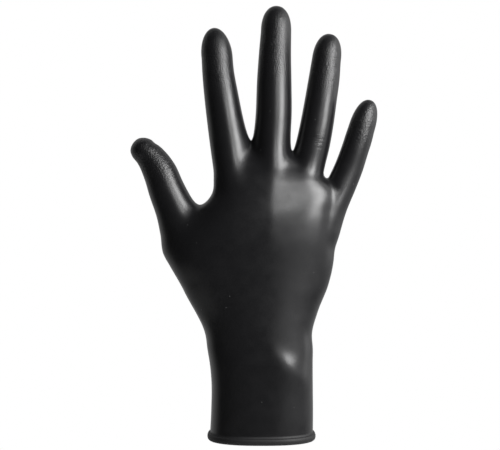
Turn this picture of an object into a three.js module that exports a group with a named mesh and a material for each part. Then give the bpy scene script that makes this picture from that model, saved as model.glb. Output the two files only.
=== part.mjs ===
// A nitrile exam glove of medium size, in the shape it has when a hand fills it: one film with a
// thumb, four fingers and an open cuff whose rim is rolled outward on itself.
// Millimetres. +Z runs from the mouth of the cuff to the fingertips, the back of the hand faces
// -Y and the thumb lies towards -X. The origin is the middle of the mouth, level with the
// underside of the rolled rim.
import * as THREE from "three";

// Film and rolled rim
const wall = 1;
const rimHeight = 3.6;
const rimProud = 1.5;

// Cuff, from the mouth up to the wrist
const cuffLength = 42;
const cuffWidth = 56.4;
const cuffDepth = 42;

// Palm, from the wrist up to the roots of the fingers
const palmLength = 108;
const palmWidth = 90;
const palmDepth = 41;

// Digits: length from root to tip, width and depth, and lean from +Z towards +X in degrees
const thumbLength = 76.2;
const thumbWidth = 22;
const thumbDepth = 21;
const thumbLean = -24.2;
const indexLength = 83.4;
const indexWidth = 20;
const indexDepth = 19;
const indexLean = -7.1;
const middleLength = 94.9;
const middleWidth = 20;
const middleDepth = 19;
const middleLean = 1;
const ringLength = 80.2;
const ringWidth = 18;
const ringDepth = 18;
const ringLean = 8.3;
const littleLength = 49.4;
const littleWidth = 15.4;
const littleDepth = 15.6;
const littleLean = 17.5;

// How far the film bridges the corner where two limbs meet
const fingerRootBlend = 6;
const thumbRootBlend = 16;
const indexWebBlend = 12.6;
const middleWebBlend = 7.6;
const ringWebBlend = 5;

// The wrist bone, a short ridge that lifts the film on the back of the hand
const boneAcross = 0.24; // share of cuffWidth from the middle to the right
const boneTurn = 46; // degrees that the ridge runs down from +X
const boneHeight = 1.35;
const boneLength = 13;
const boneSpread = 5;
const boneSteepness = 0.55; // how fast it falls on its lower left, where 1 is as on its upper right
const boneFade = 0.25; // share of cuffDepth over which it rises from the side

// The arch of the palm: its back falls away to the right of a ridge under the middle knuckle.
// Heights are shares of palmLength above the wrist, places across are shares of palmWidth.
const archSlope = 0.14; // fall for each millimetre to the right
const archFade = 0.3; // share of palmDepth over which it sets in from the side
const archStart = [0.1, 0.55]; // heights over which it sets in
const archStop = [0.95, 1.2]; // heights over which it dies out
const archEnd = 0.27; // where it levels out again
const archEndSoftness = 4;
const ridgeAcross = 0.055;
const ridgeBend = 0.12; // how far the ridge turns to the right into the middle finger
const ridgeBendStart = 0.85;
const ridgeBendLength = 0.25;
const ridgeSoftness = 0.9; // of its corner under the knuckles
const ridgeWristSoftness = 6; // added to that at the wrist
const ridgeSharpening = [0.4, 0.72]; // heights over which that goes

// Facets: their length, and how many lie across the front and round the side of one digit
const facet = 5.5;
const frontFacets = 4;
const sideFacets = 4;
const capTurns = [26, 52]; // rings round the cap of a digit, in degrees from where it starts

// Belts: rings that pass over the webs. Each has its size, a share of a digit's width, and the
// rest are shares of that size.
const thumbBeltSize = 1.25 * thumbWidth;
const fingerBeltSize = 0.95 * middleWidth;
const beltSink = 0.42; // below a web
const beltInset = 0.2; // from the outer edges
const beltCornerDepth = 0.4;
const beltDepth = 0.6;
const webDepth = 0.4; // share of a digit's depth that the ring through a web reaches

// Steps of the walks over the film, and of its evening out
const edgeStride = 0.25;
const webStride = 0.5;
const slopeStep = 0.02;
const leastSteepness = 0.05;
const mouthPasses = 6;
const evenRounds = 30;

// Sections of the cuff. Columns: height, then reach to the left, right, front and back of the
// middle. Heights are shares of cuffLength, left and right of cuffWidth, front and back of
// cuffDepth.
const cuffRows = [
  [0, 0.515, 0.5, 0.5, 0.5],
  [0.35, 0.501, 0.502, 0.5, 0.5],
  [0.8, 0.5, 0.499, 0.494, 0.494],
  [1, 0.515, 0.499, 0.488, 0.488],
];

// Sections of the palm, in the same columns: shares of palmLength, palmWidth and palmDepth
const palmRows = [
  [0.07, 0.337, 0.314, 0.48, 0.494],
  [0.15, 0.35, 0.309, 0.475, 0.501],
  [0.26, 0.391, 0.344, 0.463, 0.512],
  [0.4, 0.461, 0.41, 0.463, 0.512],
  [0.52, 0.525, 0.442, 0.476, 0.476],
  [0.65, 0.5, 0.448, 0.488, 0.402],
  [0.77, 0.389, 0.453, 0.463, 0.341],
  [0.88, 0.3, 0.455, 0.4, 0.293],
  [1, 0.28, 0.33, 0.32, 0.25],
];
const palmTop = 1.075; // where the palm ends inside the fingers' roots, as a share of palmLength
const palmCap = 0.15; // its rounded end, as a share of palmLength
const palmSquare = 2.5; // exponent of the palm's oval: 2 is an ellipse, more is squarer

// Each digit starts at a root, across as a share of palmWidth and up as a share of palmLength
// above the wrist. Columns of its rows: distance from the root, then reach to the left, right,
// front and back of its axis, as shares of its length, width and depth. The tip's cap is a share
// of the length, with its own exponent, 2 for round and less for pointed, and the cap that sinks
// into the palm is a share of the width.
const digits = {
  thumb: {
    length: thumbLength,
    width: thumbWidth,
    depth: thumbDepth,
    lean: thumbLean,
    across: -0.404,
    up: 0.515,
    tipCap: 0.075,
    tipSquare: 1.7,
    rootCap: 1.36,
    rows: [
      [-0.13, 0.5, 0.545, 0.571, 0.667],
      [0.05, 0.59, 0.568, 0.571, 0.667],
      [0.16, 0.659, 0.61, 0.548, 0.619],
      [0.29, 0.55, 0.6, 0.524, 0.571],
      [0.42, 0.452, 0.559, 0.5, 0.524],
      [0.58, 0.398, 0.523, 0.476, 0.486],
      [0.72, 0.336, 0.516, 0.443, 0.452],
      [0.84, 0.336, 0.418, 0.405, 0.414],
      [0.895, 0.384, 0.334, 0.4, 0.4],
      [0.925, 0.383, 0.262, 0.38, 0.38],
    ],
  },
  index: {
    length: indexLength,
    width: indexWidth,
    depth: indexDepth,
    lean: indexLean,
    across: -0.179,
    up: 0.957,
    tipCap: 0.19,
    tipSquare: 2,
    rootCap: 0.7,
    rows: [
      [-0.26, 0.48, 0.525, 0.737, 0.579],
      [0, 0.51, 0.55, 0.684, 0.553],
      [0.19, 0.525, 0.53, 0.568, 0.526],
      [0.36, 0.528, 0.478, 0.526, 0.516],
      [0.54, 0.52, 0.43, 0.489, 0.489],
      [0.72, 0.49, 0.39, 0.463, 0.463],
      [0.81, 0.462, 0.405, 0.447, 0.447],
    ],
  },
  middle: {
    length: middleLength,
    width: middleWidth,
    depth: middleDepth,
    lean: middleLean,
    across: 0.068,
    up: 0.957,
    tipCap: 0.148,
    tipSquare: 2.2,
    rootCap: 0.7,
    rows: [
      [-0.23, 0.5, 0.5, 0.737, 0.579],
      [0, 0.52, 0.485, 0.684, 0.553],
      [0.21, 0.522, 0.463, 0.568, 0.526],
      [0.38, 0.503, 0.49, 0.532, 0.526],
      [0.55, 0.493, 0.47, 0.505, 0.505],
      [0.72, 0.452, 0.443, 0.479, 0.479],
      [0.85, 0.408, 0.437, 0.447, 0.447],
    ],
  },
  ring: {
    length: ringLength,
    width: ringWidth,
    depth: ringDepth,
    lean: ringLean,
    across: 0.29,
    up: 0.957,
    tipCap: 0.18,
    tipSquare: 2.2,
    rootCap: 0.78,
    rows: [
      [-0.32, 0.556, 0.5, 0.76, 0.6],
      [0, 0.585, 0.42, 0.65, 0.6],
      [0.1, 0.568, 0.45, 0.55, 0.59],
      [0.2, 0.54, 0.495, 0.5, 0.57],
      [0.35, 0.502, 0.522, 0.49, 0.55],
      [0.55, 0.467, 0.514, 0.475, 0.515],
      [0.7, 0.447, 0.503, 0.46, 0.485],
      [0.82, 0.433, 0.46, 0.446, 0.466],
    ],
  },
  little: {
    length: littleLength,
    width: littleWidth,
    depth: littleDepth,
    lean: littleLean,
    across: 0.503,
    up: 0.917,
    tipCap: 0.334,
    tipSquare: 2.2,
    rootCap: 0.9,
    rows: [
      [-0.53, 0.571, 0.4, 0.66, 0.65],
      [-0.28, 0.577, 0.4, 0.6, 0.65],
      [0, 0.584, 0.481, 0.49, 0.65],
      [0.2, 0.506, 0.523, 0.44, 0.61],
      [0.4, 0.468, 0.519, 0.425, 0.575],
      [0.57, 0.461, 0.516, 0.42, 0.555],
      [0.67, 0.452, 0.492, 0.415, 0.545],
    ],
  },
};

// The rolled rim, from the groove above it down its outside and up its inside. Columns: outward
// as a share of rimProud, inward as a share of wall, height as a share of rimHeight.
const rimRows = [
  [0.6, 0, 0.83],
  [1, 0, 0.46],
  [0.6, 0, 0.08],
  [0, 0.1, 0],
  [0, 0.7, 0.04],
  [0, 1, 0.22],
];

// A limb is a tube round a straight axis in the plane y = 0. Its section at each row reaches
// left, right, front and back by the row's own lengths.
function makeLimb({ root, lean, length, rows, tipCap, tipSquare, rootCap, square }) {
  const turn = THREE.MathUtils.degToRad(lean);
  return {
    root,
    axis: new THREE.Vector2(Math.sin(turn), Math.cos(turn)),
    side: new THREE.Vector2(Math.cos(turn), -Math.sin(turn)),
    length,
    rows,
    slopes: rows.map((row, i) => slopesAt(rows, i)),
    end: length - tipCap,
    tipCap,
    tipSquare,
    rootCap,
    square,
  };
}

// Slopes of a row's columns: those to its two neighbours, the nearer one counting for more.
function slopesAt(rows, i) {
  const rise = (a, b, column) => (rows[b][column] - rows[a][column]) / (rows[b][0] - rows[a][0]);
  return rows[i].map((value, column) => {
    if (i === 0) return rise(0, 1, column);
    if (i === rows.length - 1) return rise(i - 1, i, column);
    const before = rows[i][0] - rows[i - 1][0];
    const after = rows[i + 1][0] - rows[i][0];
    return (rise(i - 1, i, column) * after + rise(i, i + 1, column) * before) / (before + after);
  });
}

// Rows of shares turned into millimetres, starting at a height.
function scaled(rows, length, width, depth, start) {
  return rows.map(([at, left, right, front, back]) => [
    start + at * length,
    left * width,
    right * width,
    front * depth,
    back * depth,
  ]);
}

const trunk = makeLimb({
  root: new THREE.Vector2(0, 0),
  lean: 0,
  length: cuffLength + palmTop * palmLength,
  rows: [
    ...scaled(cuffRows, cuffLength, cuffWidth, cuffDepth, 0),
    ...scaled(palmRows, palmLength, palmWidth, palmDepth, cuffLength),
  ],
  tipCap: palmCap * palmLength,
  tipSquare: 2,
  rootCap: Infinity,
  square: palmSquare,
});

const limbs = {};
for (const [name, digit] of Object.entries(digits)) {
  limbs[name] = makeLimb({
    root: new THREE.Vector2(digit.across * palmWidth, cuffLength + digit.up * palmLength),
    lean: digit.lean,
    length: digit.length,
    rows: scaled(digit.rows, digit.length, digit.width, digit.depth, 0),
    tipCap: digit.tipCap * digit.length,
    tipSquare: digit.tipSquare,
    rootCap: digit.rootCap * digit.width,
    square: 2,
  });
}
const fingers = ["index", "middle", "ring", "little"];
const webBlends = { middle: indexWebBlend, ring: middleWebBlend, little: ringWebBlend };

// Reach to the left, right, front and back at a distance along a limb: a smooth cubic between
// the two rows around it.
function sectionAt(limb, at) {
  const { rows, slopes } = limb;
  let i = 0;
  while (i < rows.length - 2 && at >= rows[i + 1][0]) i += 1;
  const step = rows[i + 1][0] - rows[i][0];
  const t = THREE.MathUtils.clamp((at - rows[i][0]) / step, 0, 1);
  const mix = (column) =>
    (2 * t ** 3 - 3 * t ** 2 + 1) * rows[i][column] +
    (t ** 3 - 2 * t ** 2 + t) * step * slopes[i][column] +
    (3 * t ** 2 - 2 * t ** 3) * rows[i + 1][column] +
    (t ** 3 - t ** 2) * step * slopes[i + 1][column];
  return [mix(1), mix(2), mix(3), mix(4)];
}

// About how far a point lies outside a limb, negative inside. The limb is an oval tube with a
// rounded cap at each end.
function limbDistance(limb, x, y, z) {
  const fromX = x - limb.root.x;
  const fromZ = z - limb.root.y;
  const along = fromX * limb.axis.x + fromZ * limb.axis.y;
  const across = fromX * limb.side.x + fromZ * limb.side.y;
  const core = THREE.MathUtils.clamp(along, limb.rows[0][0], limb.end);
  const [left, right, front, back] = sectionAt(limb, along);
  const u = across - (right - left) / 2;
  const v = y - (back - front) / 2;
  const past = along > core ? along - core : limb.rootCap === Infinity ? 0 : along - core;
  const cap = past > 0 ? limb.tipCap : limb.rootCap;
  const n = limb.square;
  const oval = Math.abs((2 * u) / (left + right)) ** n + Math.abs((2 * v) / (front + back)) ** n;
  const m = limb.tipSquare;
  const share = Math.max((oval ** (m / n) + Math.abs(past / cap) ** m) ** (1 / m), 1e-4);
  const reach = Math.hypot(u, v, past);
  return reach - reach / share;
}

// The nearer of two limbs, with their corner bridged where the two are within a blend.
function joined(a, b, blend) {
  const near = Math.max(blend - Math.abs(a - b), 0) / blend;
  return Math.min(a, b) - (near ** 3 * blend) / 6;
}

// How far the wrist bone lifts the film: a short ridge that runs down to the right, easy on its
// lower left and steep on its upper right.
function wristBone(x, y, z) {
  if (y > 0) return 0;
  const fromX = x - boneAcross * cuffWidth;
  const fromZ = z - cuffLength;
  const turn = THREE.MathUtils.degToRad(boneTurn);
  const along = (Math.cos(turn) * fromX - Math.sin(turn) * fromZ) / boneLength;
  const across = (Math.sin(turn) * fromX + Math.cos(turn) * fromZ) / boneSpread;
  const fall = across > 0 ? across : boneSteepness * across;
  const facing = Math.min(-y / (boneFade * cuffDepth), 1);
  return boneHeight * facing * Math.exp(-(along ** 2) - fall ** 2);
}

// How far the back of the palm falls away to the right of its ridge. The ridge is a corner under
// the knuckles, softer towards the wrist, and it turns to the right into the middle finger.
function archFall(x, y, z) {
  if (y > 0) return 0;
  const { clamp, smoothstep } = THREE.MathUtils;
  const up = (z - cuffLength) / palmLength;
  const bend = ridgeBend * clamp((up - ridgeBendStart) / ridgeBendLength, 0, 1) ** 2;
  const softness = ridgeSoftness + ridgeWristSoftness * (1 - smoothstep(up, ...ridgeSharpening));
  const fall =
    ramp(x - (ridgeAcross + bend) * palmWidth, softness) -
    ramp(x - archEnd * palmWidth, archEndSoftness);
  const facing = smoothstep(-y, 0, archFade * palmDepth);
  const height = smoothstep(up, ...archStart) * (1 - smoothstep(up, ...archStop));
  return archSlope * fall * facing * height;
}

// Nothing left of zero and the value itself right of it, with the corner between them softened.
function ramp(value, softness) {
  return softness * Math.log1p(Math.exp(value / softness));
}

// About how far a point lies outside the glove.
function distance(x, y, z) {
  let nearest = limbDistance(limbs.index, x, y, z);
  for (const name of fingers.slice(1)) {
    nearest = joined(nearest, limbDistance(limbs[name], x, y, z), webBlends[name]);
  }
  nearest = joined(nearest, limbDistance(trunk, x, y, z), fingerRootBlend);
  nearest = joined(nearest, limbDistance(limbs.thumb, x, y, z), thumbRootBlend);
  return nearest - wristBone(x, y, z) + archFall(x, y, z);
}

function gradient([x, y, z]) {
  const h = slopeStep;
  return [
    (distance(x + h, y, z) - distance(x - h, y, z)) / (2 * h),
    (distance(x, y + h, z) - distance(x, y - h, z)) / (2 * h),
    (distance(x, y, z + h) - distance(x, y, z - h)) / (2 * h),
  ];
}

// A point moved onto the film, straight down or up the gradient. Flat keeps its height.
function settled(point, flat = false) {
  const slope = gradient(point);
  if (flat) slope[2] = 0;
  const steep = Math.max(slope[0] ** 2 + slope[1] ** 2 + slope[2] ** 2, leastSteepness);
  const miss = distance(...point) / steep;
  const size = Math.abs(miss) * Math.sqrt(steep);
  const kept = Math.min(1, facet / Math.max(size, 1e-9));
  return point.map((value, i) => value - miss * kept * slope[i]);
}

// Plan points, seen from the front, are Vector2 with x across and y for the height.
// The film's outer edge at a height, walking out from the middle to one side.
function edgeAt(height, sign) {
  const stride = sign * edgeStride;
  let x = 0;
  while (distance(x, 0, height) < 0) x += stride;
  const out = distance(x, 0, height);
  const back = distance(x - stride, 0, height);
  return new THREE.Vector2(x - (stride * out) / (out - back), height);
}

// The lowest point of the gap between two neighbouring digits in the plane at a depth: the most
// open place at each height, walking down until it closes.
function webAt(a, b, depth) {
  const reach = (limb) => limb.root.y + limb.axis.y * limb.end;
  const xAt = (limb, height) => limb.root.x + (limb.axis.x * (height - limb.root.y)) / limb.axis.y;
  let above;
  for (let height = Math.min(reach(a), reach(b)); height > cuffLength; height -= webStride) {
    let open = { room: -Infinity };
    for (let share = 0.2; share <= 0.8; share += 0.01) {
      const x = THREE.MathUtils.lerp(xAt(a, height), xAt(b, height), share);
      const room = distance(x, depth, height);
      if (room > open.room) open = { room, point: new THREE.Vector2(x, height) };
    }
    if (open.room < 0) return open.point.lerp(above.point, -open.room / (above.room - open.room));
    above = open;
  }
  throw new Error("two digits have no gap between them");
}

// The web between two digits: its lowest point in the middle plane, and the points of a ring
// that follow the bottom of the gap from front to back.
function makeWeb(a, b, depth) {
  const arc = [];
  for (let i = 1; i < sideFacets; i += 1) {
    const y = -depth * Math.cos((Math.PI * i) / sideFacets);
    const at = webAt(a, b, y);
    arc.push([at.x, y, at.y]);
  }
  return { at: webAt(a, b, 0), arc };
}

// The outer edge of a digit across from a web.
function besideWeb(limb, web, sign) {
  const at = web.clone().sub(limb.root).dot(limb.axis);
  const [left, right] = sectionAt(limb, at);
  return limb.root
    .clone()
    .addScaledVector(limb.axis, at)
    .addScaledVector(limb.side, sign > 0 ? right : -left);
}

const points = [];
const quads = [];

function addPoint(x, y, z) {
  points.push([x, y, z]);
  return points.length - 1;
}

// Quads between two rings of equal length. A ring runs along the front from left to right, round
// the right side, back along the rear and round the left side.
function addBand(lower, upper) {
  lower.forEach((corner, i) => {
    const next = (i + 1) % lower.length;
    quads.push([corner, lower[next], upper[next], upper[i]]);
  });
}

function makeRing({ front, right, back, left }) {
  return [...front, ...right, ...back.toReversed(), ...left.toReversed()];
}

// Angles of a ring's points round an oval, for a ring as wide as some digits.
function ringAngles(digitsWide) {
  const across = digitsWide * frontFacets;
  const corner = (Math.PI * sideFacets) / (2 * across + 2 * sideFacets);
  const run = (from, to, count) =>
    Array.from({ length: count }, (_, i) => from + ((to - from) * i) / count);
  return [
    ...run(corner - Math.PI, -corner, across),
    ...run(-corner, corner, sideFacets),
    ...run(corner, Math.PI - corner, across),
    ...run(Math.PI - corner, Math.PI + corner, sideFacets),
  ];
}

// Points between two corners on the front or back, at a depth.
function addStrip(from, to, count, depth) {
  const strip = [];
  for (let i = 1; i < count; i += 1) {
    const at = from.clone().lerp(to, i / count);
    strip.push(addPoint(at.x, depth, at.y));
  }
  return strip;
}

// Points round an outer side from front to back.
function addSide(edge, depth) {
  const arc = [];
  for (let i = 1; i < sideFacets; i += 1) {
    arc.push(addPoint(edge.x, depth * ((2 * i) / sideFacets - 1), edge.y));
  }
  return arc;
}

// A ring that passes over webs, from the outer left edge to the outer right edge. Spans are the
// numbers of digits between them, and size is the width of one digit.
function addBelt(leftEdge, webs, rightEdge, spans, size) {
  const sink = beltSink * size;
  const inset = beltInset * size;
  const cornerDepth = beltCornerDepth * size;
  const depth = beltDepth * size;
  const low = webs.map(({ at }) => new THREE.Vector2(at.x, at.y - sink));
  const inward = (from, to) =>
    from.clone().addScaledVector(to.clone().sub(from).normalize(), inset);
  const line = [inward(leftEdge, low[0]), ...low, inward(rightEdge, low.at(-1))];
  const face = (sign) => {
    const corners = line.map((at, i) => {
      const outer = i === 0 || i === line.length - 1;
      return addPoint(at.x, sign * (outer ? cornerDepth : depth), at.y);
    });
    const row = [corners[0]];
    spans.forEach((span, i) => {
      row.push(...addStrip(line[i], line[i + 1], span * frontFacets, sign * depth));
      row.push(corners[i + 1]);
    });
    return row;
  };
  return {
    front: face(-1),
    back: face(1),
    left: addSide(leftEdge, cornerDepth),
    right: addSide(rightEdge, cornerDepth),
    webs: webs.map(({ arc }) => arc.map((point) => addPoint(...point))),
  };
}

// The part of a belt that starts at one digit and is some digits wide.
function beltSpan(belt, first, wide) {
  const from = first * frontFacets;
  const to = from + wide * frontFacets + 1;
  return {
    front: belt.front.slice(from, to),
    back: belt.back.slice(from, to),
    left: first === 0 ? belt.left : belt.webs[first - 1],
    right: to === belt.front.length ? belt.right : belt.webs[first + wide - 1],
  };
}

// Cuff and lower palm, from the groove above the rim up to the belt over the thumb's web.
function addTrunk(belt) {
  const ring = makeRing(belt);
  const topLeft = points[belt.left[0]][2];
  const topRight = points[belt.right[0]][2];
  const count = Math.round((topLeft - rimHeight) / facet);
  const angles = ringAngles(1 + fingers.length);
  const rings = [];
  for (let j = 0; j < count; j += 1) {
    const left = edgeAt(THREE.MathUtils.lerp(rimHeight, topLeft, j / count), -1);
    const right = edgeAt(THREE.MathUtils.lerp(rimHeight, topRight, j / count), 1);
    const middle = left.clone().lerp(right, 0.5);
    rings.push(
      angles.map((angle) => {
        const at = middle.clone().lerp(right, Math.cos(angle));
        return addPoint(at.x, (Math.sin(angle) * cuffDepth) / 2, at.y);
      }),
    );
  }
  rings.push(ring);
  rings.slice(1).forEach((upper, i) => addBand(rings[i], upper));
  return rings[0];
}

// Upper palm: even steps from the belt over the thumb's web to the belt over the finger webs.
function addUpperPalm(lower, upper) {
  const gaps = lower.map((corner, i) =>
    new THREE.Vector3(...points[corner]).distanceTo(new THREE.Vector3(...points[upper[i]])),
  );
  const mean = gaps.reduce((sum, gap) => sum + gap, 0) / gaps.length;
  const count = Math.max(2, Math.round(mean / facet));
  let below = lower;
  for (let j = 1; j < count; j += 1) {
    const ring = lower.map((corner, i) =>
      addPoint(
        ...points[corner].map((value, axis) =>
          THREE.MathUtils.lerp(value, points[upper[i]][axis], j / count),
        ),
      ),
    );
    addBand(below, ring);
    below = ring;
  }
  addBand(below, upper);
}

// A digit: rings along its axis, which turn from the shape of their base ring into the digit's
// own oval, two rings round its cap and a patch of quads over the tip. Returns the points of the
// cap and the tip.
function addDigit(limb, base) {
  const start = base.map((corner) => [...points[corner]]);
  const heights = start.map(([x, , z]) =>
    new THREE.Vector2(x, z).sub(limb.root).dot(limb.axis),
  );
  const from = heights.reduce((sum, height) => sum + height, 0) / heights.length;
  const count = Math.max(3, Math.round((limb.end - from) / facet));
  const stations = Array.from({ length: count }, (_, j) =>
    THREE.MathUtils.lerp(from, limb.end, (j + 1) / count),
  );
  for (const turn of capTurns) {
    stations.push(limb.end + limb.tipCap * Math.sin(THREE.MathUtils.degToRad(turn)));
  }
  const angles = ringAngles(1);
  const rings = [base];
  for (const at of stations) {
    const [left, right, front, back] = sectionAt(limb, Math.min(at, limb.end));
    const past = Math.max(0, (at - limb.end) / limb.tipCap);
    const shrink = (1 - past ** limb.tipSquare) ** (1 / limb.tipSquare);
    const own = Math.min(1, (at - from) / (2 * facet));
    const ring = angles.map((angle, i) => {
      const across = (right - left) / 2 + ((left + right) / 2) * shrink * Math.cos(angle);
      const x = limb.root.x + limb.axis.x * at + limb.side.x * across;
      const z = limb.root.y + limb.axis.y * at + limb.side.y * across;
      const y = (back - front) / 2 + ((front + back) / 2) * shrink * Math.sin(angle);
      return addPoint(
        THREE.MathUtils.lerp(start[i][0] + limb.axis.x * (at - from), x, own),
        THREE.MathUtils.lerp(start[i][1], y, own),
        THREE.MathUtils.lerp(start[i][2] + limb.axis.y * (at - from), z, own),
      );
    });
    addBand(rings.at(-1), ring);
    rings.push(ring);
  }
  const patch = addTip(limb, rings.at(-1), limb.length - stations.at(-1));
  return [...rings.slice(-capTurns.length).flat(), ...patch];
}

// The patch over a tip: its edge is the last ring, and its middle is raised. Returns its own
// points.
function addTip(limb, ring, rise) {
  const corner = frontFacets + sideFacets;
  const front = ring.slice(0, frontFacets + 1);
  const right = ring.slice(frontFacets, corner + 1);
  const back = ring.slice(corner, corner + frontFacets + 1).toReversed();
  const left = [...ring.slice(corner + frontFacets), ring[0]].toReversed();
  const first = points.length;
  const rows = [front];
  for (let j = 1; j < sideFacets; j += 1) {
    const row = [left[j]];
    for (let i = 1; i < frontFacets; i += 1) {
      const s = i / frontFacets;
      const t = j / sideFacets;
      const lift = rise * Math.sin(Math.PI * s) * Math.sin(Math.PI * t);
      const mean = [0, 1, 2].map(
        (axis) =>
          (THREE.MathUtils.lerp(points[left[j]][axis], points[right[j]][axis], s) +
            THREE.MathUtils.lerp(points[front[i]][axis], points[back[i]][axis], t)) /
          2,
      );
      row.push(addPoint(mean[0] + limb.axis.x * lift, mean[1], mean[2] + limb.axis.y * lift));
    }
    rows.push([...row, right[j]]);
  }
  rows.push(back);
  for (let j = 0; j < sideFacets; j += 1) {
    for (let i = 0; i < frontFacets; i += 1) {
      quads.push([rows[j][i], rows[j][i + 1], rows[j + 1][i + 1], rows[j + 1][i]]);
    }
  }
  return points.slice(first).map((_, i) => first + i);
}

// Evens out the net while it stays on the film: each free point moves halfway to the middle of
// its neighbours, then back onto the film. Points of the mouth stay, and kept ones only settle.
function relax(mouth, kept, rounds) {
  const neighbours = points.map(() => new Set());
  for (const quad of quads) {
    quad.forEach((corner, i) => {
      const next = quad[(i + 1) % 4];
      neighbours[corner].add(next);
      neighbours[next].add(corner);
    });
  }
  const still = new Set(mouth);
  const held = new Set(kept);
  const loose = points.map((_, i) => i).filter((i) => !still.has(i));
  const free = loose.filter((i) => !held.has(i));
  for (let round = 0; round < rounds; round += 1) {
    for (const i of loose) points[i] = settled(points[i]);
    const moved = free.map((i) => {
      const around = [...neighbours[i]];
      return points[i].map((value, axis) => {
        const mean = around.reduce((sum, j) => sum + points[j][axis], 0) / around.length;
        return (value + mean) / 2;
      });
    });
    free.forEach((i, k) => {
      points[i] = moved[k];
    });
  }
  for (const i of loose) points[i] = settled(settled(settled(points[i])));
}

// Outward direction of the film at a point, level with the ground where flat.
function outward(point, flat) {
  const slope = gradient(point);
  if (flat) slope[2] = 0;
  const size = Math.hypot(...slope);
  return slope.map((value) => value / size);
}

// The outer face of the film, from the groove above the rim to the tips. Returns its mouth ring.
function addOuterFace() {
  const thumbWeb = makeWeb(limbs.thumb, limbs.index, webDepth * thumbDepth);
  const fingerWebs = fingers
    .slice(1)
    .map((name, i) => makeWeb(limbs[fingers[i]], limbs[name], webDepth * digits[name].depth));
  const thumbSide = besideWeb(limbs.thumb, thumbWeb.at, -1);
  const thumbBelt = addBelt(
    thumbSide,
    [thumbWeb],
    edgeAt(thumbSide.y, 1),
    [1, fingers.length],
    thumbBeltSize,
  );
  const mouth = addTrunk(thumbBelt);
  const fingerBelt = addBelt(
    besideWeb(limbs.index, fingerWebs[0].at, -1),
    fingerWebs,
    besideWeb(limbs.little, fingerWebs.at(-1).at, 1),
    fingers.map(() => 1),
    fingerBeltSize,
  );
  addUpperPalm(makeRing(beltSpan(thumbBelt, 1, fingers.length)), makeRing(fingerBelt));
  const kept = [
    ...thumbBelt.webs.flat(),
    ...fingerBelt.webs.flat(),
    ...addDigit(limbs.thumb, makeRing(beltSpan(thumbBelt, 0, 1))),
    ...fingers.flatMap((name, i) => addDigit(limbs[name], makeRing(beltSpan(fingerBelt, i, 1)))),
  ];
  for (const i of mouth) {
    for (let pass = 0; pass < mouthPasses; pass += 1) points[i] = settled(points[i], true);
  }
  relax(mouth, kept, evenRounds);
  return mouth;
}

// The inner face: the outer one moved in by the wall, and turned to face the hollow.
function addInnerFace(mouth) {
  const flat = new Set(mouth);
  const count = points.length;
  const outerQuads = [...quads];
  for (let i = 0; i < count; i += 1) {
    const out = outward(points[i], flat.has(i));
    addPoint(...points[i].map((value, axis) => value - wall * out[axis]));
  }
  for (const quad of outerQuads) quads.push(quad.map((corner) => corner + count).toReversed());
  return mouth.map((corner) => corner + count);
}

// The rolled rim joins the two faces round the mouth.
function addRim(outerMouth, innerMouth) {
  const outs = outerMouth.map((corner) => outward(points[corner], true));
  let above = outerMouth;
  for (const [proud, inset, height] of rimRows) {
    const ring = outerMouth.map((corner, i) => {
      const shift = proud * rimProud - inset * wall;
      const [x, y] = points[corner];
      return addPoint(x + shift * outs[i][0], y + shift * outs[i][1], height * rimHeight);
    });
    addBand(ring, above);
    above = ring;
  }
  addBand(innerMouth, above);
}

function makeFilm() {
  const outerMouth = addOuterFace();
  const innerMouth = addInnerFace(outerMouth);
  addRim(outerMouth, innerMouth);
  const film = new THREE.BufferGeometry();
  film.setAttribute("position", new THREE.Float32BufferAttribute(points.flat(), 3));
  film.setIndex(quads.flatMap(([a, b, c, d]) => [a, b, c, a, c, d]));
  film.computeVertexNormals();
  return film;
}

const nitrile = new THREE.MeshStandardMaterial({
  color: 0x1c1c1f,
  roughness: 0.38,
  metalness: 0,
});

const glove = new THREE.Group();
const film = new THREE.Mesh(makeFilm(), nitrile);
film.name = "glove";
glove.add(film);

export default glove;
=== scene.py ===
"""A black nitrile exam glove, filled as a hand fills it, on a plain white ground.

All sizes are in metres. The mouth lies at z = 0, the fingers point up, and the back of the hand
faces -y.
"""
import math
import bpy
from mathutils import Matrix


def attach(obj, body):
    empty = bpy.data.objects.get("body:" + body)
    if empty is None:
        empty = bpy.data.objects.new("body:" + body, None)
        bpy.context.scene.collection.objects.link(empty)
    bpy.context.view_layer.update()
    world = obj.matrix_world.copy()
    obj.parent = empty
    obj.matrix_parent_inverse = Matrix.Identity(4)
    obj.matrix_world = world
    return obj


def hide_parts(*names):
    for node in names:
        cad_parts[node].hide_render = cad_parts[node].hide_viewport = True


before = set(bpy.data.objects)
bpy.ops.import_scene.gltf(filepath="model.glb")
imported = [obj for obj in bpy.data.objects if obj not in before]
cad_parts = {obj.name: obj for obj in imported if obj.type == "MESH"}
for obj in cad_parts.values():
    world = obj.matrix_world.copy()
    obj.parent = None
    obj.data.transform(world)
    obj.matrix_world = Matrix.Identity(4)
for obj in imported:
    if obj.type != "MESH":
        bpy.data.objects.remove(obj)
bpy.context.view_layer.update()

from types import SimpleNamespace

import bpy
import numpy as np

# The film, and the rim that is rolled on itself: its height, how far it stands proud, its points
FILM = 0.0005
RIM_HEIGHT = 0.0036
RIM_PROUD = 0.0015
RIM_STEPS = 18

# Cuff and palm are one oval trunk. Its top and its cap are shares of the palm's length.
CUFF_LENGTH = 0.042
CUFF_WIDTH = 0.0564
CUFF_DEPTH = 0.042
PALM_LENGTH = 0.108
PALM_WIDTH = 0.09
PALM_DEPTH = 0.041
PALM_TOP = 1.075
PALM_CAP = 0.15
PALM_SQUARE = 2.5

# How far the film bridges the corner where two limbs meet
FINGER_ROOT_BLEND = 0.006
THUMB_ROOT_BLEND = 0.016
WEB_BLENDS = {"middle": 0.0126, "ring": 0.0076, "little": 0.005}

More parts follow.
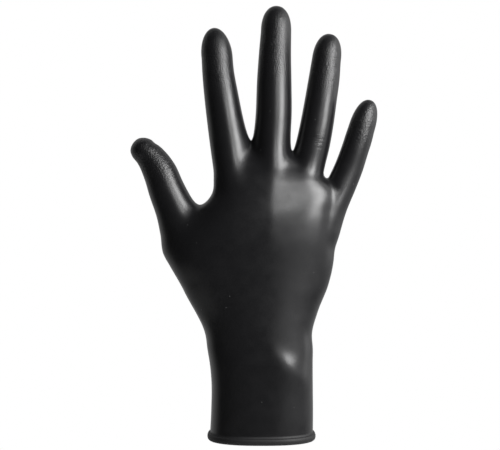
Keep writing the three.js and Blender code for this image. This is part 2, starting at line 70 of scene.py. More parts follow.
# The wrist bone: a low ridge, turned by some degrees. Across is a share of the cuff's width, steepness
# is how fast it falls on its lower left, where 1 is as on its upper right, and fade is the share of the
# cuff's depth over which it sets in.
BONE_ACROSS = 0.24
BONE_TURN = 46
BONE_HEIGHT = 0.00135
BONE_LENGTH = 0.013
BONE_SPREAD = 0.005
BONE_STEEPNESS = 0.55
BONE_FADE = 0.25

# The back of the hand falls away to the right of a ridge under the middle knuckle. Start, stop,
# sharpening and the bend's start and length are shares of the palm's length, the ridge's place, its
# bend and the end are shares of its width, and fade is a share of its depth.
ARCH_SLOPE = 0.14
ARCH_START = (0.1, 0.55)
ARCH_STOP = (0.95, 1.2)
ARCH_FADE = 0.3
ARCH_END = 0.27
ARCH_END_SOFT = 0.004
RIDGE_ACROSS = 0.055
RIDGE_BEND = 0.12
RIDGE_BEND_START = 0.85
RIDGE_BEND_LENGTH = 0.25
RIDGE_CORNER = 0.0009
RIDGE_SOFT = 0.006
RIDGE_SHARPENING = (0.4, 0.72)

# The net: length of a facet before it is split, facets across a digit's front and side, turns in
# degrees of the two rings round a tip, and how often each facet is cut in four
FACET = 0.0055
FRONT = 4
SIDE = 4
CAP_TURNS = (26, 52)
SPLITS = 2

# The two belts that pass over the webs, as shares of a digit's size: how far they sink below a web,
# how far they stop short of the edge, and their depth at the corners and between
BELT_SINK = 0.42
BELT_INSET = 0.2
BELT_CORNER_DEPTH = 0.4
BELT_DEPTH = 0.6
THUMB_BELT = 1.25
FINGER_BELT = 0.95
WEB_DEPTH = 0.4

# Rounds of settling and evening out the net, first and after each split
MOUTH_ROUNDS = 6
EVEN_ROUNDS = 30
FINER_ROUNDS = 4
LAST_ROUNDS = 3

# Steps of the searches on the film, for its slope, its edges and the webs, and the least values that
# are divided by
LEAST_SHARE = 1e-4
SLOPE_STEP = 2e-5
LEAST_SLOPE = 0.05
LEAST_MOVE = 1e-12
EDGE_REACH = 0.075
EDGE_STEP = 0.00025
WEB_STEP = 0.0005
WEB_SHARES = (0.2, 0.8, 61)

# Sections. Columns: place along the part, then reach to the left, right, front and back. The place is
# a share of its length, left and right are shares of its width, front and back of its depth.
CUFF_ROWS = [
    (0, 0.515, 0.5, 0.5, 0.5),
    (0.35, 0.501, 0.502, 0.5, 0.5),
    (0.8, 0.5, 0.499, 0.494, 0.494),
    (1, 0.515, 0.499, 0.488, 0.488),
]
PALM_ROWS = [
    (0.07, 0.337, 0.314, 0.48, 0.494),
    (0.15, 0.35, 0.309, 0.475, 0.501),
    (0.26, 0.391, 0.344, 0.463, 0.512),
    (0.4, 0.461, 0.41, 0.463, 0.512),
    (0.52, 0.525, 0.442, 0.476, 0.476),
    (0.65, 0.5, 0.448, 0.488, 0.402),
    (0.77, 0.389, 0.453, 0.463, 0.341),
    (0.88, 0.3, 0.455, 0.4, 0.293),
    (1, 0.28, 0.33, 0.32, 0.25),
]

# Digits. Lean is in degrees to the right, across and up place the root in shares of the palm's width
# and length, tip_cap is a share of the digit's length and root_cap of its width, and tip_square is 2
# for a round tip and more for a squarer one.
DIGITS = {
    "thumb": dict(
        length=0.0762,
        width=0.022,
        depth=0.021,
        lean=-24.2,
        across=-0.404,
        up=0.515,
        tip_cap=0.075,
        tip_square=1.7,
        root_cap=1.36,
        rows=[
            (-0.13, 0.5, 0.545, 0.571, 0.667),
            (0.05, 0.59, 0.568, 0.571, 0.667),
            (0.16, 0.659, 0.61, 0.548, 0.619),
            (0.29, 0.55, 0.6, 0.524, 0.571),
            (0.42, 0.452, 0.559, 0.5, 0.524),
            (0.58, 0.398, 0.523, 0.476, 0.486),
            (0.72, 0.336, 0.516, 0.443, 0.452),
            (0.84, 0.336, 0.418, 0.405, 0.414),
            (0.895, 0.384, 0.334, 0.4, 0.4),
            (0.925, 0.383, 0.262, 0.38, 0.38),
        ],
    ),
    "index": dict(
        length=0.0834,
        width=0.02,
        depth=0.019,
        lean=-7.1,
        across=-0.179,
        up=0.957,
        tip_cap=0.19,
        tip_square=2.0,
        root_cap=0.7,
        rows=[
            (-0.26, 0.48, 0.525, 0.737, 0.579),
            (0, 0.51, 0.55, 0.684, 0.553),
            (0.19, 0.525, 0.53, 0.568, 0.526),
            (0.36, 0.528, 0.478, 0.526, 0.516),
            (0.54, 0.52, 0.43, 0.489, 0.489),
            (0.72, 0.49, 0.39, 0.463, 0.463),
            (0.81, 0.462, 0.405, 0.447, 0.447),
        ],
    ),
    "middle": dict(
        length=0.0949,
        width=0.02,
        depth=0.019,
        lean=1,
        across=0.068,
        up=0.957,
        tip_cap=0.148,
        tip_square=2.2,
        root_cap=0.7,
        rows=[
            (-0.23, 0.5, 0.5, 0.737, 0.579),
            (0, 0.52, 0.485, 0.684, 0.553),
            (0.21, 0.522, 0.463, 0.568, 0.526),
            (0.38, 0.503, 0.49, 0.532, 0.526),
            (0.55, 0.493, 0.47, 0.505, 0.505),
            (0.72, 0.452, 0.443, 0.479, 0.479),
            (0.85, 0.408, 0.437, 0.447, 0.447),
        ],
    ),
    "ring": dict(
        length=0.0802,
        width=0.018,
        depth=0.018,
        lean=8.3,
        across=0.29,
        up=0.957,
        tip_cap=0.18,
        tip_square=2.2,
        root_cap=0.78,
        rows=[
            (-0.32, 0.556, 0.5, 0.76, 0.6),
            (0, 0.585, 0.42, 0.65, 0.6),
            (0.1, 0.568, 0.45, 0.55, 0.59),
            (0.2, 0.54, 0.495, 0.5, 0.57),
            (0.35, 0.502, 0.522, 0.49, 0.55),
            (0.55, 0.467, 0.514, 0.475, 0.515),
            (0.7, 0.447, 0.503, 0.46, 0.485),
            (0.82, 0.433, 0.46, 0.446, 0.466),
        ],
    ),
    "little": dict(
        length=0.0494,
        width=0.0154,
        depth=0.0156,
        lean=17.5,
        across=0.503,
        up=0.917,
        tip_cap=0.334,
        tip_square=2.2,
        root_cap=0.9,
        rows=[
            (-0.53, 0.571, 0.4, 0.66, 0.65),
            (-0.28, 0.577, 0.4, 0.6, 0.65),
            (0, 0.584, 0.481, 0.49, 0.65),
            (0.2, 0.506, 0.523, 0.44, 0.61),
            (0.4, 0.468, 0.519, 0.425, 0.575),
            (0.57, 0.461, 0.516, 0.42, 0.555),
            (0.67, 0.452, 0.492, 0.415, 0.545),
        ],
    ),
}
FINGERS = ("index", "middle", "ring", "little")

# Satin finish: roughness of the plain film, how far and how finely it varies with the middle span of
# a noise, and the roughness of grip and rim. The rim's fades over heights above the rim.
ROUGHNESS = 0.31
ROUGHNESS_VARIES = 0.03
ROUGHNESS_SCALE = 180
ROUGHNESS_SPAN = (0.3, 0.7)
GRIP_ROUGHNESS = 0.33
RIM_ROUGHNESS = 0.6
RIM_FADE = (0.0015, 0.0005)
FILM_COLOUR = (0.0075, 0.0075, 0.0083, 1)

# Pale specks: how many there are to a metre, and where a speck's edge begins and is full
SPECK_COLOUR = (0.12, 0.12, 0.12, 1)
SPECK_SCALE = 150
SPECK_EDGE = (0.045, 0.03)

# Relief: how fine it is, which for folds is along x, y and z, and its height
PEEL_SCALE = 900
PEEL_HEIGHT = 0.00001
GRAIN_SCALE = 1300
GRAIN_DETAIL = 1.0
GRAIN_HEIGHT = 0.00027
FOLD_SCALES = (160, 160, 750)
FOLD_HEIGHT = 0.00022

# The grained ends of the digits, measured back from the tips, and the length over which grain sets in
GRIP_LENGTHS = {"thumb": 0.027, "index": 0.034, "middle": 0.041, "ring": 0.034, "little": 0.023}
GRIP_FADE = 0.024

# Places where the film is creased. Columns: x and z of the middle, reach in x and z.
CREASED = [
    (0.053, 0.176, 0.009, 0.008),
    (0.0285, 0.1635, 0.007, 0.0035),
    (0.03, 0.166, 0.005, 0.004),
    (0.0195, 0.1585, 0.004, 0.003),
    (0.0145, 0.171, 0.0025, 0.005),
]

# White paper floor
FLOOR_AT = -0.3
FLOOR_HALF = 0.8
PAPER_COLOUR = (0.9, 0.9, 0.9, 1)
PAPER_ROUGHNESS = 0.9

# Soft lights that face the middle of the glove. Columns: name, centre, width, height, radiance.
SOFTBOXES = [
    ("key softbox", (0.307, -0.24, 0.285), 0.2, 0.27, 13.5),
    ("upper softbox", (0.165, -0.41, 0.33), 0.1, 0.1, 12),
    ("right wall", (0.795, -0.423, 0.5), 2.1, 1.5, 0.8),
    ("right rear panel", (0.97, 0.26, 0.4), 0.7, 1.0, 0.7),
]
MIDDLE_HEIGHT = 0.12

# The room's light from in front of and behind the glove, and the directions between which it changes
ROOM_IN_FRONT = 0.035
ROOM_BEHIND = 0.5
ROOM_CHANGE = (-0.1, 0.5)

# Camera: focal length and width of the photo in pixels, width of the sensor in millimetres
FOCAL_PX = 1078.7
PHOTO_WIDTH_PX = 500
SENSOR = 36
CAMERA_AT = (-0.00667, -0.6, 0.1185)


def make_limb(root, lean, length, rows, tip_cap, root_cap, tip_square=2.0, square=2.0):
    """A tube round a straight axis in the plane y = 0, which leans to the right by some degrees.

    Rows: distance along the axis, then reach left, right, front and back. The slope of a reach at a
    row is the weighted difference of its neighbours. A cap is the length over which an end closes.
    """
    turn = math.radians(lean)
    rows = np.array(rows)
    return SimpleNamespace(
        root=np.array(root),
        axis=np.array((math.sin(turn), math.cos(turn))),
        side=np.array((math.cos(turn), -math.sin(turn))),
        length=length,
        at=rows[:, 0],
        reach=rows[:, 1:],
        slope=np.gradient(rows[:, 1:], rows[:, 0], axis=0),
        end=length - tip_cap,
        tip_cap=tip_cap,
        root_cap=root_cap,
        tip_square=tip_square,
        square=square,
    )


def scaled(rows, length, width, depth, start=0.0):
    """Rows of shares turned into metres: each column times its size, the first one from a start."""
    return np.array(rows) * (length, width, width, depth, depth) + (start, 0, 0, 0, 0)


def make_limbs():
    """The trunk and the five digits, from their tables of shares times their sizes."""
    trunk = np.vstack(
        (
            scaled(CUFF_ROWS, CUFF_LENGTH, CUFF_WIDTH, CUFF_DEPTH),
            scaled(PALM_ROWS, PALM_LENGTH, PALM_WIDTH, PALM_DEPTH, CUFF_LENGTH),
        )
    )
    top = CUFF_LENGTH + PALM_TOP * PALM_LENGTH
    limbs = {
        "trunk": make_limb((0, 0), 0, top, trunk, PALM_CAP * PALM_LENGTH, None, square=PALM_SQUARE)
    }
    for name, digit in DIGITS.items():
        limbs[name] = make_limb(
            (digit["across"] * PALM_WIDTH, CUFF_LENGTH + digit["up"] * PALM_LENGTH),
            digit["lean"],
            digit["length"],
            scaled(digit["rows"], digit["length"], digit["width"], digit["depth"]),
            digit["tip_cap"] * digit["length"],
            digit["root_cap"] * digit["width"],
            digit["tip_square"],
        )
    return limbs


LIMBS = make_limbs()


def section_at(limb, at):
    """Reach left, right, front and back at distances along a limb.

    Between two rows it is the cubic with the reach and slope of both, and it stays level past the
    first and the last row.
    """
    i = np.clip(np.searchsorted(limb.at, at, side="right") - 1, 0, len(limb.at) - 2)
    step = (limb.at[i + 1] - limb.at[i])[:, None]
    t = np.clip((at - limb.at[i])[:, None] / step, 0, 1)
    return (
        (2 * t**3 - 3 * t**2 + 1) * limb.reach[i]
        + (t**3 - 2 * t**2 + t) * step * limb.slope[i]
        + (3 * t**2 - 2 * t**3) * limb.reach[i + 1]
        + (t**3 - t**2) * step * limb.slope[i + 1]
    ).T


def limb_distance(limb, p):
    """About how far points lie outside a limb.

    The share of a point is 1 on the limb's surface: the root of the powers of its offsets from the
    section's middle over half the section's sizes, and past an end also over the cap's length. The
    distance is the point's reach from the axis, less that reach over the share.
    """
    rel = p[:, (0, 2)] - limb.root
    along = rel @ limb.axis
    across = rel @ limb.side
    core = np.clip(along, limb.at[0], limb.end)
    left, right, front, back = section_at(limb, along)
    u = across - (right - left) / 2
    v = p[:, 1] - (back - front) / 2
    past = along - core
    if limb.root_cap is None:
        past = np.maximum(past, 0)
        cap = limb.tip_cap
    else:
        cap = np.where(past > 0, limb.tip_cap, limb.root_cap)
    n = limb.square
    oval = np.abs(2 * u / (left + right)) ** n + np.abs(2 * v / (front + back)) ** n
    m = limb.tip_square
    share = np.maximum((oval ** (m / n) + np.abs(past / cap) ** m) ** (1 / m), LEAST_SHARE)
    reach = np.sqrt(u**2 + v**2 + past**2)
    return reach - reach / share


def joined(a, b, blend):
    """The lesser of two distances, with the corner between their limbs bridged.

    Where the two differ by less than a blend, the cube of what is left of the blend, as a share of
    it, times a sixth of the blend is taken off.
    """
    near = np.maximum(blend - np.abs(a - b), 0) / blend
    return np.minimum(a, b) - near**3 * blend / 6


def wrist_bone(p):
    """How far the wrist bone lifts the film: a short ridge that runs down to the right.

    Its height times a bell curve of the distances along and across it, steep on its lower left and
    easy on its upper right, and only on the side of the back of the hand.
    """
    x = p[:, 0] - BONE_ACROSS * CUFF_WIDTH
    z = p[:, 2] - CUFF_LENGTH
    turn = math.radians(BONE_TURN)
    along = (math.cos(turn) * x - math.sin(turn) * z) / BONE_LENGTH
    across = (math.sin(turn) * x + math.cos(turn) * z) / BONE_SPREAD
    fall = np.where(across > 0, across, BONE_STEEPNESS * across)
    facing = np.clip(-p[:, 1] / (BONE_FADE * CUFF_DEPTH), 0, 1)
    return BONE_HEIGHT * facing * np.exp(-(along**2) - fall**2)


def smooth(low, high, value):
    """A soft step from 0 at low to 1 at high: three times the square less twice the cube."""
    t = np.clip((value - low) / (high - low), 0, 1)
    return t * t * (3 - 2 * t)


def arch(p):
    """How far the back of the hand falls away to the right of a ridge.

    The fall is the slope times the distance to the right of the ridge, up to the arch's end, with
    both corners rounded by the logarithm of one plus an exponential. The ridge is a corner under the
    knuckles, softens towards the wrist and bends right into the middle finger.
    """
    up = (p[:, 2] - CUFF_LENGTH) / PALM_LENGTH
    bend = np.clip((up - RIDGE_BEND_START) / RIDGE_BEND_LENGTH, 0, 1) ** 2
    ridge = RIDGE_ACROSS * PALM_WIDTH + RIDGE_BEND * PALM_WIDTH * bend
    corner = RIDGE_CORNER + RIDGE_SOFT * (1 - smooth(*RIDGE_SHARPENING, up))
    past_end = (p[:, 0] - ARCH_END * PALM_WIDTH) / ARCH_END_SOFT
    right_of_ridge = corner * np.logaddexp(0, (p[:, 0] - ridge) / corner)
    fall = right_of_ridge - ARCH_END_SOFT * np.logaddexp(0, past_end)
    facing = smooth(0, -ARCH_FADE * PALM_DEPTH, p[:, 1])
    return ARCH_SLOPE * fall * facing * smooth(*ARCH_START, up) * (1 - smooth(*ARCH_STOP, up))


def distance(p):
    """About how far points lie outside the glove: the joined limbs, less the bone, plus the arch."""
    nearest = limb_distance(LIMBS["index"], p)
    for name in FINGERS[1:]:
        nearest = joined(nearest, limb_distance(LIMBS[name], p), WEB_BLENDS[name])
    nearest = joined(nearest, limb_distance(LIMBS["trunk"], p), FINGER_ROOT_BLEND)
    nearest = joined(nearest, limb_distance(LIMBS["thumb"], p), THUMB_ROOT_BLEND)
    return nearest - wrist_bone(p) + arch(p)


def distance_on(x, y, z):
    """The distance on grids of x, y and z."""
    return distance(np.stack((x, y, z), axis=-1).reshape(-1, 3)).reshape(x.shape)


def gradient(p):
    """How fast the distance grows along x, y and z: the difference a small step to either side."""
    steps = SLOPE_STEP * np.eye(3)
    return np.stack([(distance(p + e) - distance(p - e)) / (2 * SLOPE_STEP) for e in steps], axis=1)


def settled(p, flat=False):
    """Points moved onto the film along its gradient. Flat keeps their height.

    A point moves by its distance over the gradient's square, times the gradient, and at most one
    facet.
    """
    slope = gradient(p)
    if flat:
        slope[:, 2] = 0
    steep = np.maximum((slope**2).sum(axis=1), LEAST_SLOPE)
    miss = distance(p) / steep
    kept = np.minimum(1, FACET / np.maximum(np.abs(miss) * np.sqrt(steep), LEAST_MOVE))
    return p - (miss * kept)[:, None] * slope


def edges_at(heights, sign):
    """The film's outer edge at heights, on the right for sign 1 and on the left for -1.

    A walk out from the middle leaves the film between two steps, and the edge lies where a straight
    line through their distances is 0.
    """
    out = sign * np.arange(0, EDGE_REACH, EDGE_STEP)
    x, z = np.meshgrid(out, heights)
    room = distance_on(x, 0 * x, z)
    i = np.argmax(room > 0, axis=1)
    row = np.arange(len(heights))
    here, before = room[row, i], room[row, i - 1]
    return np.stack((out[i] - (out[i] - out[i - 1]) * here / (here - before), heights), axis=1)


def web_at(a, b, depth):
    """The lowest point of the gap between two digits at a depth.

    At each height the most open place between the two axes is found, and these places are followed
    down to the height where their distance is 0.
    """
    a, b = LIMBS[a], LIMBS[b]
    top = min(limb.root[1] + limb.axis[1] * limb.end for limb in (a, b))
    heights = np.arange(top, CUFF_LENGTH, -WEB_STEP)
    z, share = np.meshgrid(heights, np.linspace(*WEB_SHARES), indexing="ij")
    xa, xb = (limb.root[0] + limb.axis[0] * (z - limb.root[1]) / limb.axis[1] for limb in (a, b))
    x = xa + (xb - xa) * share
    room = distance_on(x, 0 * x + depth, z)
    row = np.arange(len(z))
    best = room.argmax(axis=1)
    room, x, z = room[row, best], x[row, best], z[:, 0]
    i = np.argmax(room < 0)
    t = room[i - 1] / (room[i - 1] - room[i])
    return np.array((x[i - 1] + (x[i] - x[i - 1]) * t, z[i - 1] + (z[i] - z[i - 1]) * t))


def make_web(a, b, depth):
    """The web between two digits: its lowest point, and points along the bottom of the gap.

    These go from front to back at a depth times the cosines of equal turns.
    """
    ys = -depth * np.cos(np.pi * np.arange(1, SIDE) / SIDE)
    arc = [(x, y, z) for y, (x, z) in ((y, web_at(a, b, y)) for y in ys)]
    return SimpleNamespace(at=web_at(a, b, 0.0), arc=np.array(arc))


def beside_web(limb, web, sign):
    """The outer edge of a digit level with a web: its axis there plus its reach to that side."""
    at = (web - limb.root) @ limb.axis
    left, right = section_at(limb, np.array([at]))[:2, 0]
    return limb.root + limb.axis * at + limb.side * (right if sign > 0 else -left)


class Net:
    """Points and quads of a net that is still being laid."""

    def __init__(self):
        self.points = np.empty((0, 3))
        self.quads = []

    def add(self, points):
        """Adds points and gives their numbers."""
        first = len(self.points)
        self.points = np.vstack((self.points, points))
        return np.arange(first, len(self.points))

    def band(self, lower, upper):
        """Quads between two closed rings of equal length."""
        self.quads.append(np.stack((lower, np.roll(lower, -1), np.roll(upper, -1), upper), axis=1))


def ring_of(side):
    """A closed ring: along the front to the right, round the right, along the back, round the left."""
    return np.concatenate((side.front, side.right, side.back[::-1], side.left[::-1]))


def ring_angles(digits_wide):
    """Angles of a ring's points round an oval, from its left front, all equally far apart.

    Front and back have FRONT points for each digit, and each side has SIDE points.
    """
    across = digits_wide * FRONT
    corner = math.pi * SIDE / (2 * across + 2 * SIDE)
    runs = (
        (corner - math.pi, -corner, across),
        (-corner, corner, SIDE),
        (corner, math.pi - corner, across),
        (math.pi - corner, math.pi + corner, SIDE),
    )
    return np.concatenate([np.linspace(*run, endpoint=False) for run in runs])


def plan(points, depth):
    """Plan points (x, z) as points in space at a depth."""
    points = np.atleast_2d(points)
    return np.stack((points[:, 0], np.broadcast_to(depth, len(points)), points[:, 1]), axis=1)


def moved_towards(a, b, step):
    """Plan point a moved by a step on the straight line to b."""
    return a + (b - a) * step / np.linalg.norm(b - a)


def add_belt(net, left_edge, webs, right_edge, spans, size):
    """A ring that passes over webs.

    Seen from the front it runs in straight lines from edge to edge, through a point under each web.
    Its front and back lie at a depth from the middle plane, less at the corners, and its sides cross
    that plane in equal steps.
    """
    low = [web.at - (0, BELT_SINK * size) for web in webs]
    inset = BELT_INSET * size
    corners = moved_towards(left_edge, low[0], inset), moved_towards(right_edge, low[-1], inset)
    line = np.array([corners[0], *low, corners[1]])
    steps = np.cumsum([0, *spans]) * FRONT
    at = np.arange(steps[-1] + 1)
    x = np.interp(at, steps, line[:, 0])
    z = np.interp(at, steps, line[:, 1])
    lie = np.full(len(at), BELT_DEPTH * size)
    lie[[0, -1]] = BELT_CORNER_DEPTH * size
    turn = BELT_CORNER_DEPTH * size * (2 * np.arange(1, SIDE) / SIDE - 1)
    return SimpleNamespace(
        front=net.add(np.stack((x, -lie, z), axis=1)),
        back=net.add(np.stack((x, lie, z), axis=1)),
        left=net.add(plan(np.repeat(left_edge[None], SIDE - 1, axis=0), turn)),
        right=net.add(plan(np.repeat(right_edge[None], SIDE - 1, axis=0), turn)),
        webs=[net.add(web.arc) for web in webs],
    )


def belt_span(belt, first, wide):
    """The part of a belt that starts at one digit and is some digits wide."""
    part = slice(first * FRONT, (first + wide) * FRONT + 1)
    last = part.stop == len(belt.front)
    return SimpleNamespace(
        front=belt.front[part],
        back=belt.back[part],
        left=belt.webs[first - 1] if first else belt.left,
        right=belt.right if last else belt.webs[first + wide - 1],
    )


def add_trunk(net, belt):
    """Ovals from the rim up to the belt over the thumb's web.

    Each oval is the middle between the film's two edges plus the cosine of an angle times half their
    distance, at a depth of the sine times half the cuff's depth.
    """
    top_left, top_right = net.points[belt.left[0], 2], net.points[belt.right[0], 2]
    count = round((top_left - RIM_HEIGHT) / FACET)
    angles = ring_angles(1 + len(FINGERS))
    share = np.arange(count) / count
    left = edges_at(RIM_HEIGHT + (top_left - RIM_HEIGHT) * share, -1)
    right = edges_at(RIM_HEIGHT + (top_right - RIM_HEIGHT) * share, 1)
    middle, half = (left + right) / 2, (right - left) / 2
    rings = [
        net.add(plan(m + np.cos(angles)[:, None] * h, np.sin(angles) * CUFF_DEPTH / 2))
        for m, h in zip(middle, half)
    ]
    rings.append(ring_of(belt))
    for lower, upper in zip(rings, rings[1:]):
        net.band(lower, upper)
    return rings[0]


def add_upper_palm(net, lower, upper):
    """Rings from one belt to the other, in even steps on straight lines."""
    a, b = net.points[lower], net.points[upper]
    count = max(2, round(np.linalg.norm(b - a, axis=1).mean() / FACET))
    below = lower
    for j in range(1, count):
        ring = net.add(a + (b - a) * j / count)
        net.band(below, ring)
        below = ring
    net.band(below, upper)


def add_digit(net, limb, base):
    """Rings from a base ring to the digit's end, two round its cap, and a patch over its tip.

    A ring is the base ring moved along the axis, which turns into the digit's own oval within two
    facets. In the cap the oval shrinks by the root of one less the power of how far into it it is.
    """
    start = net.points[base]
    start_at = ((start[:, (0, 2)] - limb.root) @ limb.axis).mean()
    count = max(3, round((limb.end - start_at) / FACET))
    stations = np.append(
        start_at + (limb.end - start_at) * np.arange(1, count + 1) / count,
        limb.end + limb.tip_cap * np.sin(np.radians(CAP_TURNS)),
    )
    angles = ring_angles(1)
    rings = [base]
    for at in stations:
        left, right, front, back = section_at(limb, np.array([min(at, limb.end)]))[:, 0]
        into_cap = max(0, (at - limb.end) / limb.tip_cap)
        shrink = (1 - into_cap**limb.tip_square) ** (1 / limb.tip_square)
        across = (right - left) / 2 + (left + right) / 2 * shrink * np.cos(angles)
        own = plan(
            limb.root + limb.axis * at + across[:, None] * limb.side,
            (back - front) / 2 + (front + back) / 2 * shrink * np.sin(angles),
        )
        moved = start + np.array((limb.axis[0], 0, limb.axis[1])) * (at - start_at)
        ring = net.add(moved + (own - moved) * min(1, (at - start_at) / (2 * FACET)))
        net.band(rings[-1], ring)
        rings.append(ring)
    patch = add_tip(net, limb, rings[-1], limb.length - stations[-1])
    return np.concatenate((*rings[-len(CAP_TURNS):], patch))


def add_tip(net, limb, ring, rise):
    """A patch over a tip, whose edge is the last ring.

    Inside, it is the mean of the straight lines between opposite edges, raised along the axis by the
    sines of both shares.
    """
    corner = FRONT + SIDE
    front = ring[: FRONT + 1]
    right = ring[FRONT : corner + 1]
    back = ring[corner : corner + FRONT + 1][::-1]
    left = np.append(ring[corner + FRONT :], ring[0])[::-1]
    s = (np.arange(1, FRONT) / FRONT)[None, :, None]
    t = (np.arange(1, SIDE) / SIDE)[:, None, None]
    across = net.points[left[1:-1]][:, None] * (1 - s) + net.points[right[1:-1]][:, None] * s
    along = net.points[front[1:-1]][None] * (1 - t) + net.points[back[1:-1]][None] * t
    lift = rise * np.sin(np.pi * s) * np.sin(np.pi * t) * np.array((limb.axis[0], 0, limb.axis[1]))
    inner = net.add(((across + along) / 2 + lift).reshape(-1, 3))
    grid = np.empty((SIDE + 1, FRONT + 1), int)
    grid[0], grid[-1], grid[:, 0], grid[:, -1] = front, back, left, right
    grid[1:-1, 1:-1] = inner.reshape(SIDE - 1, FRONT - 1)
    quads = np.stack((grid[:-1, :-1], grid[:-1, 1:], grid[1:, 1:], grid[1:, :-1]), axis=-1)
    net.quads.append(quads.reshape(-1, 4))
    return inner


def edges_of(quads):
    """Each edge once, in rising order, and the numbers of each quad's four edges."""
    pairs = np.sort(np.stack((quads, np.roll(quads, -1, axis=1)), axis=-1).reshape(-1, 2), axis=1)
    edges, back = np.unique(pairs, axis=0, return_inverse=True)
    return edges, back.reshape(-1, 4)


def relaxed(points, quads, still, held, rounds):
    """A net evened out on the film.

    In each round every loose point settles onto the film, and each of them that isn't held then moves
    halfway to the middle of its neighbours. Still points stay where they are.
    """
    edges, _ = edges_of(quads)
    count = np.bincount(edges.ravel(), minlength=len(points))[:, None]
    loose = np.setdiff1d(np.arange(len(points)), still)
    free = np.setdiff1d(loose, held)
    for _ in range(rounds):
        points[loose] = settled(points[loose])
        around = np.zeros_like(points)
        np.add.at(around, edges[:, 0], points[edges[:, 1]])
        np.add.at(around, edges[:, 1], points[edges[:, 0]])
        points[free] = (points[free] + (around / count)[free]) / 2
    for _ in range(LAST_ROUNDS):
        points[loose] = settled(points[loose])
    return points


def split(points, quads, mouth):
    """Each quad cut in four through its middle and the middles of its edges, and the finer mouth.

    An edge of the mouth is found by its key, its first point times the number of points plus its
    second, which rises along the list of edges.
    """
    edges, back = edges_of(quads)
    middles = len(points) + np.arange(len(edges))
    centres = len(points) + len(edges) + np.arange(len(quads))
    finer = np.vstack((points, points[edges].mean(axis=1), points[quads].mean(axis=1)))
    across = middles[back]
    parts = [
        np.stack((quads[:, i], across[:, i], centres, across[:, i - 1]), axis=1) for i in range(4)
    ]
    pairs = np.sort(np.stack((mouth, np.roll(mouth, -1)), axis=1), axis=1)
    key = np.array((len(points), 1))
    between = middles[np.searchsorted(edges @ key, pairs @ key)]
    return finer, np.vstack(parts), np.stack((mouth, between), axis=1).ravel()


def outer_face():
    """The film's outer face: a net laid over trunk and digits, evened out on the film, and split."""
    net = Net()
    thumb_web = make_web("thumb", "index", WEB_DEPTH * DIGITS["thumb"]["depth"])
    finger_webs = [
        make_web(a, b, WEB_DEPTH * DIGITS[b]["depth"]) for a, b in zip(FINGERS, FINGERS[1:])
    ]
    thumb_side = beside_web(LIMBS["thumb"], thumb_web.at, -1)
    thumb_belt = add_belt(
        net,
        thumb_side,
        [thumb_web],
        edges_at(thumb_side[1:], 1)[0],
        [1, len(FINGERS)],
        THUMB_BELT * DIGITS["thumb"]["width"],
    )
    mouth = add_trunk(net, thumb_belt)
    finger_belt = add_belt(
        net,
        beside_web(LIMBS["index"], finger_webs[0].at, -1),
        finger_webs,
        beside_web(LIMBS["little"], finger_webs[-1].at, 1),
        [1] * len(FINGERS),
        FINGER_BELT * DIGITS["middle"]["width"],
    )
    add_upper_palm(net, ring_of(belt_span(thumb_belt, 1, len(FINGERS))), ring_of(finger_belt))
    held = [*thumb_belt.webs, *finger_belt.webs]
    held.append(add_digit(net, LIMBS["thumb"], ring_of(belt_span(thumb_belt, 0, 1))))
    for i, name in enumerate(FINGERS):
        held.append(add_digit(net, LIMBS[name], ring_of(belt_span(finger_belt, i, 1))))
    points, quads = net.points, np.vstack(net.quads)
    for _ in range(MOUTH_ROUNDS):
        points[mouth] = settled(points[mouth], flat=True)
    points = relaxed(points, quads, mouth, np.concatenate(held), EVEN_ROUNDS)
    for _ in range(SPLITS):
        points, quads, mouth = split(points, quads, mouth)
        for _ in range(FINER_ROUNDS):
            points[mouth] = settled(points[mouth], flat=True)
        points = relaxed(points, quads, mouth, np.empty(0, int), FINER_ROUNDS)
    return points, quads, mouth


def rim_profile():
    """Offset from the film and height of points round the rolled rim.

    They lie on an ellipse: its middle plus its half width times the cosine, and half the rim's height
    times one plus the sine, from the film's outer face round the underside to the inner face.
    """
    middle, half = (RIM_PROUD - FILM) / 2, (RIM_PROUD + FILM) / 2
    turn = np.linspace(math.acos(-middle / half), -math.pi, RIM_STEPS)
    return middle + half * np.cos(turn), RIM_HEIGHT / 2 * (1 + np.sin(turn))


def closed_shell(points, quads, mouth):
    """The film as a closed shell: outer face, inner face and rim.

    The inner face lies one film thickness inside along the normal, which is level at the mouth. The
    rim's profile is carried round the mouth and joins the two faces.
    """
    count = len(points)
    slope = gradient(points)
    normal = slope / np.linalg.norm(slope, axis=1)[:, None]
    inner = points - FILM * normal
    level = normal[mouth] * (1, 1, 0)
    level /= np.linalg.norm(level, axis=1)[:, None]
    inner[mouth] = points[mouth] - FILM * level
    offset, height = rim_profile()
    rings = points[mouth][None] + offset[1:, None, None] * level
    rings[:, :, 2] = height[1:, None]
    rim_ids = 2 * count + np.arange(rings[..., 0].size).reshape(rings.shape[:2])
    ladder = np.vstack((mouth[None], rim_ids, mouth[None] + count))
    upper, lower = ladder[:-1], ladder[1:]
    rim = np.stack((lower, np.roll(lower, -1, axis=1), np.roll(upper, -1, axis=1), upper), axis=-1)
    everything = np.vstack((points, inner, rings.reshape(-1, 3)))
    return everything, np.vstack((quads, quads[:, ::-1] + count, rim.reshape(-1, 4)))


def grip_share(p):
    """1 on the grained ends of the digits and 0 on the rest.

    It rises in a soft step along the axis of the digit that is nearest, round the place where that
    digit's grip starts.
    """
    near = np.stack([limb_distance(LIMBS[name], p) for name in DIGITS]).argmin(axis=0)
    share = np.zeros(len(p))
    for i, name in enumerate(DIGITS):
        limb = LIMBS[name]
        along = (p[:, (0, 2)] - limb.root) @ limb.axis
        start = limb.length - GRIP_LENGTHS[name]
        share = np.where(near == i, smooth(start - GRIP_FADE / 2, start + GRIP_FADE / 2, along), share)
    return share


